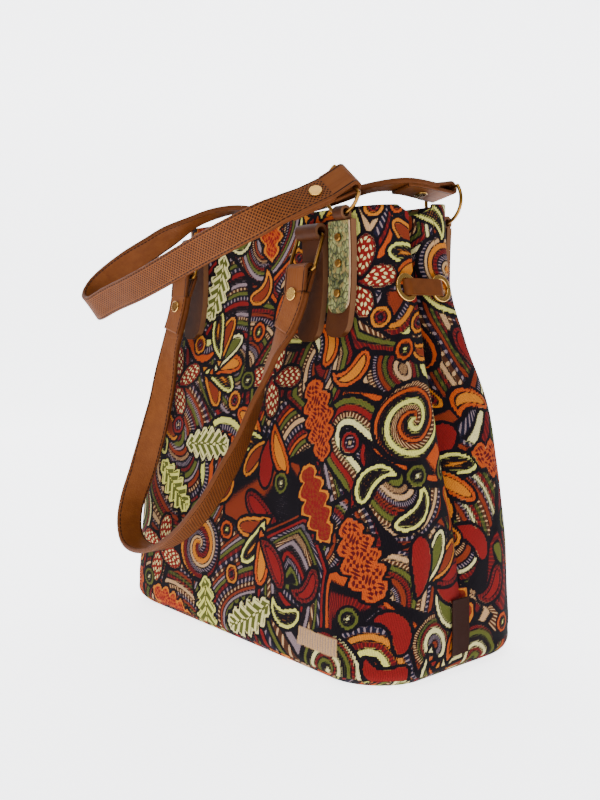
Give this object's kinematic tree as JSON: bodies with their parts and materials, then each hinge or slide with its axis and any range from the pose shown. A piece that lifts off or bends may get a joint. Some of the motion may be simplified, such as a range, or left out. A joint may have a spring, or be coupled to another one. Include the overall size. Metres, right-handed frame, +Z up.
{
  "type": "tote bag",
  "caption": "Flared tote bag of patterned woven cloth with cinched side pleats, an open top and leather strap handles hung from rings.",
  "frame": {"origin": "centre of the base where it rests on the floor", "axes": "+Z up, the front of the bag faces -Y, +X to the bag's left as seen by its wearer"},
  "size_m": [0.2975, 0.1909, 0.3162],
  "materials": {
    "woven_cloth": "coarse jacquard weave with a multicoloured pattern on a dark ground",
    "lining_cloth": "plain dark cloth",
    "board": "matt black board",
    "brass": "antique brass",
    "tan_leather": "perforated tan leather with stitched edges",
    "brown_leather": "smooth dark brown leather with pale painted edges",
    "label_cloth": "plain dark brown woven tape",
    "green_leather": "sage green leather with an embossed scale pattern"
  },
  "bodies": {
    "bag": {"front_panel": "woven_cloth", "back_panel": "woven_cloth", "base_panel": "woven_cloth", "rim_facing": "woven_cloth", "lining": "lining_cloth", "base_board": "board", "grommet_right_back": "brass", "grommet_right_front": "brass", "grommet_left_back": "brass", "grommet_left_front": "brass", "washer_right_back": "brass", "washer_right_front": "brass", "washer_left_back": "brass", "washer_left_front": "brass", "cinch_strip_right": "tan_leather", "cinch_strip_left": "tan_leather", "side_label": "label_cloth", "tab_front_left": "brown_leather", "tab_front_right": "brown_leather", "tab_front_outer": "brown_leather", "tab_back_right": "brown_leather", "studded_strip": "green_leather", "stud_lower": "brass", "stud_middle": "brass", "stud_upper": "brass"},
    "front_rings": {"ring_front_left": "brass", "ring_front_right": "brass"},
    "front_handle": {"front_handle_strap": "tan_leather", "rivet_front_handle_start": "brass", "rivet_front_handle_end": "brass"},
    "side_handle": {"side_handle_strap": "tan_leather", "ring_side_front": "brass", "ring_side_back": "brass", "rivet_side_handle_start": "brass", "rivet_side_handle_end": "brass"}
  },
  "joints": [
    {"name": "front_ring_swing", "type": "hinge", "parent": "bag", "child": "front_rings", "pos_m": [0, -0.04752, 0.2743], "axis": [-1, 0, 0], "range_deg": [0, 20]},
    {"name": "front_handle_swing", "type": "hinge", "parent": "front_rings", "child": "front_handle", "pos_m": [0, -0.05586, 0.25137], "axis": [-1, 0, 0], "range_deg": [0, 20]},
    {"name": "side_handle_lift", "type": "hinge", "parent": "bag", "child": "side_handle", "pos_m": [0.086, 0, 0.3009], "axis": [0, 1, 0], "range_deg": [0, 50]}
  ]
}
